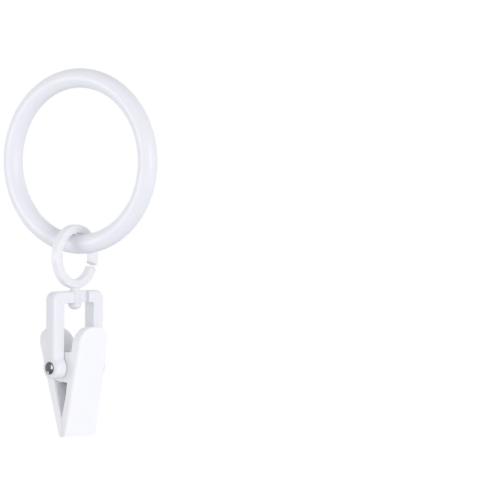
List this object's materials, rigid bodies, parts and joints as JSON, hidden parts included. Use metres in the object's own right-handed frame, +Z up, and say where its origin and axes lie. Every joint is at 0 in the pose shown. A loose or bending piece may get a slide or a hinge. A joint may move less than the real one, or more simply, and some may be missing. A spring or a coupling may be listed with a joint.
{
  "type": "curtain ring with clip",
  "caption": "Closed plastic ring for a curtain rod, with a split eyelet, a bail that turns on its stem, and a pair of sprung jaws that grip the edge of the curtain.",
  "frame": {"origin": "centre of the ring, which is the middle of the rod's passage", "axes": "+Z up, with the clip hanging towards -Z; Y along the rod; X across it, in the plane of the ring"},
  "size_m": [0.048, 0.018, 0.0954],
  "materials": {
    "ring_plastic": "moulded, satin gloss, cool white",
    "eyelet_plastic": "moulded, milky white",
    "bail_plastic": "moulded, satin white",
    "jaw_plastic": "moulded, satin white",
    "rivet_steel": "polished steel",
    "spring_steel": "drawn spring wire"
  },
  "bodies": {
    "ring": {"ring": "ring_plastic"},
    "eyelet": {"eyelet": "eyelet_plastic"},
    "bail": {"bail": "bail_plastic", "rivet": "rivet_steel"},
    "back_jaw": {"back_jaw": "jaw_plastic", "spring": "spring_steel"},
    "front_jaw": {"front_jaw": "jaw_plastic"}
  },
  "joints": [
    {"name": "eyelet_swing", "type": "hinge", "parent": "ring", "child": "eyelet", "pos_m": [-0.00134, 0, -0.02146], "axis": [1, 0, 0], "range_deg": [-90, 90]},
    {"name": "bail_swivel", "type": "hinge", "parent": "eyelet", "child": "bail", "pos_m": [-0.00134, 0, -0.0335], "axis": [0, 0, 1], "continuous": true},
    {"name": "clip_swing", "type": "hinge", "parent": "bail", "child": "back_jaw", "pos_m": [-0.00134, 0, -0.05336], "axis": [0.2028, 0.9792, 0], "range_deg": [-86.4, 93.6]},
    {"name": "jaw_open", "type": "hinge", "parent": "back_jaw", "child": "front_jaw", "pos_m": [-0.00134, 0, -0.05336], "axis": [-0.2028, -0.9792, 0], "range_deg": [0, 30], "stiffness_Nm_per_rad": 0.03, "springref_deg": -57.3, "deforming": ["spring"]}
  ]
}
